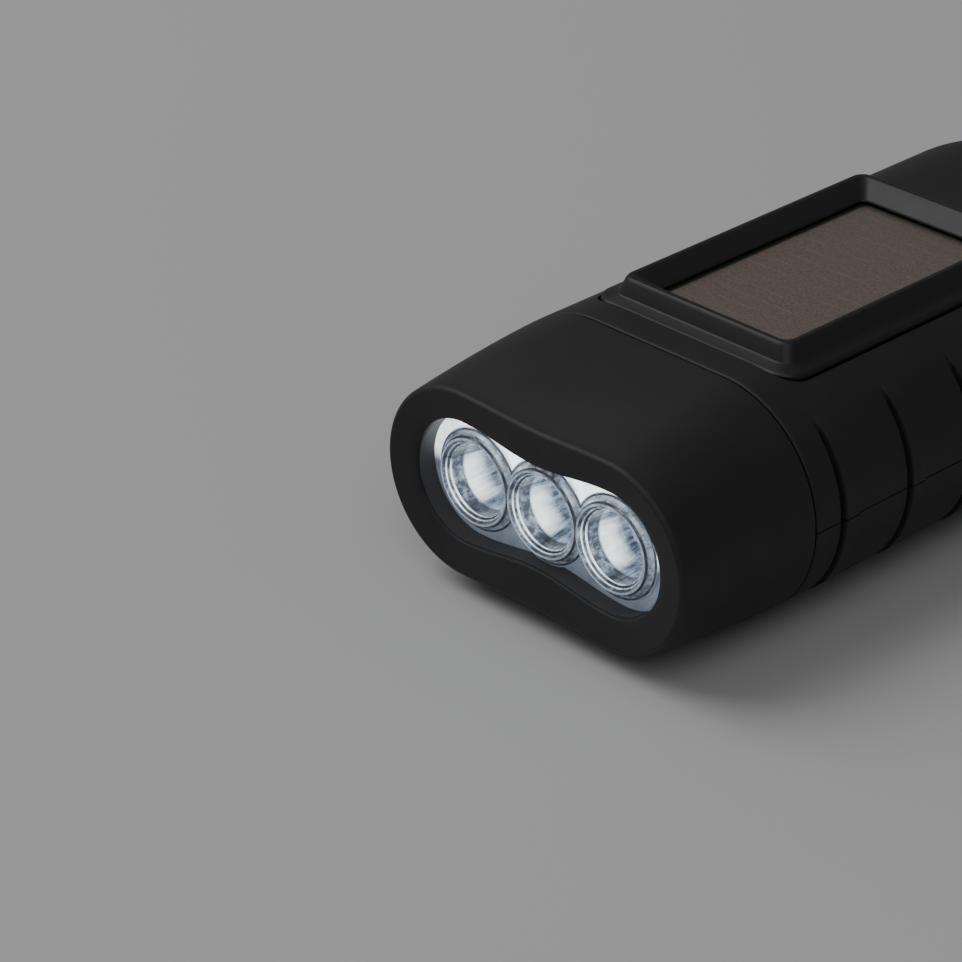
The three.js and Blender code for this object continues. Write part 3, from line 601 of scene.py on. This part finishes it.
def nose_bezel():
    rings = [oval(FRONT + s, OPEN_W + d, OPEN_H + d, OPEN_WAIST)
             for s, d in ((3.2, 0), (1.2, 0), (0.5, 0.0), (0.25, 0.05), (0.08, 0.15), (-0.04, 0.34))]
    for share in (0.25, 0.5, 0.75):
        rings.append(oval(FRONT - 0.06 - 0.68 * share, OPEN_W + 0.4 + 3.5 * share, OPEN_H + 0.4 + 3.5 * share,
                          OPEN_WAIST + (0.4 - OPEN_WAIST) * share))
    for k in range(9):
        a = math.radians(15 + 75 * k / 8)
        r = 25.9 + 0.85 * math.sin(a)
        rings.append(oval(RIM_FRONT + 0.85 * (1 - math.cos(a)), r, r - 13.3, 0.4))
    for k in range(1, 25):
        s = 0.2 + 21.5 * k / 24
        rings.append(oval(FRONT + s, *bezel_size(s)))
    w, h, _ = bezel_size(22.2)
    for k in range(1, 6):
        a = math.pi / 2 * k / 5
        inset = 0.4 * (1 - math.cos(a))
        rings.append(oval(FRONT + 21.75 + 0.48 * math.sin(a), w - inset, h - inset))
    rings.append(oval(FRONT + 22.25, 25.9, 14.3))
    rings.append(oval(FRONT + 18.4, 25.9, 14.3))
    rings.append(oval(FRONT + 18.4, 23.8, 11.9))
    rings.append(oval(FRONT + 3.2, 23.8, 11.4))
    settle(skin("torch_bezel", rings, closed=True), "housing", "shell", "nose_bezel", angle=26)


def lens_sheet():
    rings = [oval(FRONT + s, OPEN_W - d, OPEN_H - d, OPEN_WAIST)
             for s, d in ((0.10, 0.75), (0.12, 0.45), (0.22, 0.28), (0.38, 0.2), (0.95, 0.2))]
    settle(skin("lens_sheet", rings), "housing", "clear_plastic", "lens", angle=40)


def reflector_plate():
    flange = skin("flange", [oval(FLANGE_Y, 23.3, 10.9), oval(FLANGE_Y + 1, 23.3, 10.9)])
    collar = [(0, 4), (7.45, 4), (7.45, 2.35), (7.3, 2.15), (7.05, 2.1), (6.75, 1.95), (6.4, 1.5),
              (6.2, 1.12), (6.05, 1.0), (5.9, 0.98), (0, 0.98)]
    parts = []
    for x in CUPS:
        parts.append(turned("collar", collar, (x, FRONT, 0), "Y", 128))
        parts.append(turned("cup", [(0, 0.98), (5.95, 0.98), (6.15, 1.2), (6.15, 11), (0, 11)],
                            (x, FRONT, 0), "Y", 128))
    body = join(flange, *parts)
    profile = [(0, -2), (5.8, -2), (5.8, 0.98), (5.72, 1.1), (5.55, 1.42), (5.42, 1.38), (5.3, 1.5),
               (5.22, 1.85), (5.08, 1.82), (4.95, 1.95)]
    for i in range(13):
        t = i / 12
        profile.append((BOWL_MOUTH - (BOWL_MOUTH - BOWL_THROAT) * t ** 1.9, 2.1 + (CUP_DEPTH - 0.85) * t))
    profile += [(BOWL_THROAT, 12), (0, 12)]
    bowls = [turned("bowl", profile, (x, FRONT, 0), "Y", 128) for x in CUPS]
    settle(cut(body, *bowls), "housing", "bright_metal", "reflector", angle=35)


def lamps():
    profile = [(0, 8), (2.2, 8), (2.2, 6.6), (LAMP_BASE_R, 6.6), (LAMP_BASE_R, 5.8), (LAMP_R, 5.6),
               (LAMP_R, 2.4)]
    for i in range(1, 12):
        a = math.pi / 2 * i / 12
        profile.append((LAMP_R * math.cos(a), 2.4 - 2.4 * math.sin(a)))
    profile.append((0, 0))
    for side, x in zip(("left", "middle", "right"), CUPS):
        dome = turned(f"lamp_dome_{side}", profile, (x, LAMP_TIP, 0), "Y", 48)
        settle(dome, "housing", "lamp_body", f"lamp_{side}")


nose_bezel()
lens_sheet()
reflector_plate()
lamps()


# ---------------------------------------------------------------- solar panel
def solar_frame():
    """The raised frame, from its section: half width, height and corner radius at each ring."""
    section = [(17.7, 14.8, 3.5), (17.7, 15.8, 3.5), (17.4, 16.05, 3.3), (15.7, 16.5, 2.2),
               (14.95, 18.4, 1.9), (14.6, 18.85, 1.7), (13.9, 18.85, 1.4), (11.35, 16.8, 1.0),
               (11.25, 16.45, 1.0), (12.4, 16.4, 1.0), (12.4, 13.0, 1.0), (14.9, 13.0, 1.6),
               (14.9, 14.8, 1.6)]
    rings = [[(x, y, z) for x, y in panel_rect(half, r, 10)] for half, z, r in section]
    body = bevelled(skin("panel_frame", rings, closed=True), 0.22, 3, 20)
    settle(body, "housing", "gloss_black", "solar_frame")


def solar_cell():
    outline = panel_rect(CELL_HALF, CELL_CORNER)
    settle(prism("cell_film", outline, 15.0, 15.95), "housing", "solar", "solar_cell")
    settle(prism("cell_window", outline, 16.05, 16.3), "housing", "clear_plastic", "solar_window")


solar_frame()
solar_cell()


# ---------------------------------------------------------------- pieces seen from other sides
def torch_button():
    r = BUTTON_R
    profile = [(0, 9.8), (1.8, 9.8), (1.8, 11.6), (r + 1.1, 11.6), (r + 1.1, 12.6), (r, 12.6), (r, 16.9)]
    profile += [(r - 0.08, 17.2), (r - 0.3, 17.45), (r - 0.7, 17.62), (r - 1.2, 17.66), (r - 1.7, 17.55)]
    profile += [(3.4, 17.5), (3.1, 17.6), (2.8, 17.9), (2.3, 18.05), (0, 18.1)]
    pad = turned("torch_press_pad", profile, (0, BUTTON_Y, 0), sides=96)
    settle(pad, "button", "grip", "torch_button", angle=50)


def thumbwheel(name, side, body, node):
    knurls, outline = 30, []
    for i in range(knurls):
        for k in range(8):
            t = k / 8
            r = WHEEL_R - 0.5 * smooth(1 - abs(t - 0.5) / 0.28)
            a = 2 * math.pi * (i + t) / knurls
            outline.append((side * WHEEL_X + r * math.cos(a), WHEEL_Y + r * math.sin(a)))
    wheel = bevelled(prism(name, outline, -WHEEL_HALF, WHEEL_HALF), 0.25, 2, 60)
    join(wheel, cylinder("stub", side * WHEEL_X, WHEEL_Y, 1.5, 1, 3.6, 32))
    settle(wheel, body, "grip", node)


def lanyard_lug():
    bar = prism("lanyard_bar", rounded(6, 3.3, 2.2, 10, -13, -RIM_FRONT - 3.3), -2, 2)
    cut(bar, prism("eye", rounded(3.6, 2.25, 1.3, 8, -13, 57.1), -4, 4))
    bevelled(bar, 0.5, 3, 50)
    join(bar, block("neck", -17, -9, TAIL - 2.6, TAIL + 0.85, -1.6, 1.6),
         block("head", -18.5, -7.5, TAIL - 3.8, TAIL - 2.4, -1.6, 1.6))
    settle(bar, "housing", "gloss_black", "lanyard_lug")


def port_flap():
    outline = rounded(FLAP_HALF, (FLAP_HINGE - FLAP_Z0) / 2, 0.5, 5, 0, (FLAP_HINGE + FLAP_Z0) / 2)
    flap = bevelled(prism("port_cover", outline, TAIL - 0.6, TAIL + 0.6, "XZ"), 0.15, 2)
    bead = turned("bead", [(0, -FLAP_HALF), (0.6, -FLAP_HALF), (0.6, FLAP_HALF), (0, FLAP_HALF)],
                  (0, TAIL, FLAP_HINGE), "X", 32)
    join(flap, bead)
    nub = block("nail_lip", -1.6, 1.6, TAIL + 0.5, TAIL + 0.95, FLAP_Z0 + 0.25, FLAP_Z0 + 0.75)
    bevelled(nub, 0.12, 2)
    settle(join(flap, nub), "flap", "grip", "port_flap")


def case_screws():
    corners = ((-1.3, -0.25), (1.3, -0.25), (1.3, 0.25), (-1.3, 0.25))
    for i, (x, y, seat) in enumerate(SCREWS):
        head = seat - 1.4
        profile = [(0, head), (1.7, head), (2.05, head + 0.1), (2.25, head + 0.35), (2.3, head + 0.6),
                   (2.3, seat), (1.15, seat), (1.15, 6), (0, 6.6)]
        screw = turned(f"cross_screw_{i + 1}", profile, (x, y, 0), sides=40)
        turn = 0.4 + 0.9 * i
        for quarter in (0, math.pi / 2):
            c, s = math.cos(turn + quarter), math.sin(turn + quarter)
            outline = [(x + c * a - s * b, y + s * a + c * b) for a, b in corners]
            cut(screw, prism("recess", outline, head - 1, head + 0.8))
        settle(screw, "housing", "steel", f"case_screw_{i + 1}")


def crank_disc():
    r, low, top = CRANK_R, CRANK_BOTTOM, CRANK_TOP
    profile = [(0, low), (12.9, low), (13.1, low + 0.05), (13.25, low + 0.3), (13.45, low + 0.3)]
    profile += [(13.6, low + 0.05), (13.8, low), (14.8, low)]
    for k in range(1, 7):
        a = math.pi / 2 * k / 6
        profile.append((14.8 + 2.2 * math.sin(a), low + 1.6 * (1 - math.cos(a))))
    profile += [(r, top), (0, top)]
    disc = turned("crank_plate", profile, (0, CRANK_Y, 0), sides=128)
    slot = rounded(3.6, (11.6 + 8.2 + 3.35) / 2, 0.9, 6, KNOB_X, CRANK_Y + (8.2 + 3.35 - 11.6) / 2)
    tools = [prism("knob_slot", slot, low - 1, KNOB_Z + KNOB_R + 0.2)]
    scoop = []
    for k in range(13):
        a = -math.pi / 2 + math.pi * k / 12
        scoop.append((5 * math.cos(a), 5 * math.sin(a)))
    scoop[0], scoop[-1] = (0, -5), (0, 5)
    tools.append(turned("finger_scoop", scoop, (KNOB_X, CRANK_Y - 9.5, low - 0.6), sides=48))
    bore = [(0, -6), (1.15, -6), (1.15, 6), (0, 6)]
    tools.append(turned("pin_bore", bore, (KNOB_X, KNOB_HINGE_Y, KNOB_Z), "X", 32))
    tools.append(cylinder("shaft_bore", 0, CRANK_Y, 2.1, -12, top + 1))
    tools.append(cylinder("screw_bore", 0, CRANK_Y, 1.4, -20, top + 1))
    tools.append(cylinder("head_well", 0, CRANK_Y, 3.1, -20, -14.4))
    settle(cut(disc, *tools), "crank", "shell", "crank_disc")


def crank_screw():
    profile = [(0, -15.9), (2.2, -15.9), (2.6, -15.75), (2.8, -15.4), (2.8, -14.7), (1.1, -14.7),
               (1.1, -7), (0, -6.4)]
    screw = turned("crank_centre_screw", profile, (0, CRANK_Y, 0), sides=48)
    for hx, hy in ((1.5, 0.3), (0.3, 1.5)):
        cut(screw, prism("recess", rounded(hx, hy, 0.1, 2, 0, CRANK_Y), -17, -15.1))
    settle(screw, "crank", "steel", "crank_screw")


def knob():
    near = KNOB_HINGE_Y
    arm = turned("knob_barrel", [(0, -3.3), (2.7, -3.3), (3.0, -3.0), (3.0, 3.0), (2.7, 3.3), (0, 3.3)],
                 (KNOB_X, near, KNOB_Z), "X", 48)
    stud = [(0, -19.1), (2.0, -19.1), (2.2, -18.9), (2.2, -18.3), (1.2, -18.3), (1.2, -1), (0, -1)]
    join(arm, turned("stud", stud, (KNOB_X, near, KNOB_Z), "Y", 48))
    cut(arm, turned("bore", [(0, -5), (1.15, -5), (1.15, 5), (0, 5)], (KNOB_X, near, KNOB_Z), "X", 32))
    settle(arm, "knob_arm", "steel", "knob_arm")
    profile = [(1.45, -0.1), (2.5, -0.1), (2.86, -0.22), (3.0, -0.6)]
    profile += [(3.0 - 0.3 * math.sin(math.pi * k / 16) ** 2, -0.8 - 13.4 * k / 16) for k in range(17)]
    profile += [(3.0, -14.4), (2.86, -14.78), (2.5, -14.9), (1.45, -14.9)]
    sleeve = turned("knob_sleeve", profile, (KNOB_X, near - KNOB_R, KNOB_Z), "Y", 64)
    settle(sleeve, "knob_grip", "grip", "knob_grip")


torch_button()
thumbwheel("tuning_thumbwheel", 1, "tuning", "tuning_wheel")
thumbwheel("volume_thumbwheel", -1, "volume", "volume_wheel")
lanyard_lug()
port_flap()
case_screws()
crank_disc()
crank_screw()
knob()

# ---------------------------------------------------------------- finishes on the CAD pieces that stay
for entry in frame["record"]["subparts"]:
    node = frame["nodes"][entry["node"]]
    material = MATERIALS[entry["material_slot"]]
    if node.material_slots:
        for held in node.material_slots:
            held.material = material
    else:
        node.data.materials.append(material)


# ---------------------------------------------------------------- floor, lights and camera
def backdrop():
    n = Nodes("studio_paper")
    cloud = n.noise(3, 3)
    paper = n.principled(Base_Color=n.tint(cloud, (0.50, 0.50, 0.505), (0.54, 0.54, 0.545)), Roughness=0.7)
    outline = [(-2, -2.0), (2, -2.0), (2, 2.5), (-2, 2.5)]
    data = bpy.data.meshes.new("studio_floor")
    data.from_pydata([(x, y, 0.0) for x, y in outline], [], [(0, 1, 2, 3)])
    floor = bpy.data.objects.new("studio_floor", data)
    bpy.context.scene.collection.objects.link(floor)
    data.materials.append(paper)


def area(name, position, size, power):
    """A soft light that points at the origin."""
    light = bpy.data.lights.new(name, "AREA")
    light.shape = "RECTANGLE"
    light.size = light.size_y = size
    light.energy = power
    obj = bpy.data.objects.new(name, light)
    obj.location = position
    obj.rotation_euler = (-Vector(position)).to_track_quat("-Z", "Y").to_euler()
    bpy.context.scene.collection.objects.link(obj)


def camera():
    data = bpy.data.cameras.new("camera")
    data.sensor_width = 36
    data.lens = 142.75
    data.clip_start = 0.01
    data.clip_end = 20
    obj = bpy.data.objects.new("camera", data)
    obj.location = (0.30292, -0.35579, 0.25081)
    obj.rotation_euler = tuple(math.radians(a) for a in (61.5569, 0.6625, 46.3258))
    bpy.context.scene.collection.objects.link(obj)
    bpy.context.scene.camera = obj


backdrop()
area("key", (-0.90, -0.50, 1.25), 1.2, 13)
area("side", (0.65, -0.75, 1.10), 0.9, 3.4)
world = bpy.data.worlds.new("studio")
world.use_nodes = True
sky = world.node_tree.nodes["Background"]
sky.inputs[0].default_value = (0.6, 0.6, 0.6, 1)
sky.inputs[1].default_value = 0.31
bpy.context.scene.world = world
camera()
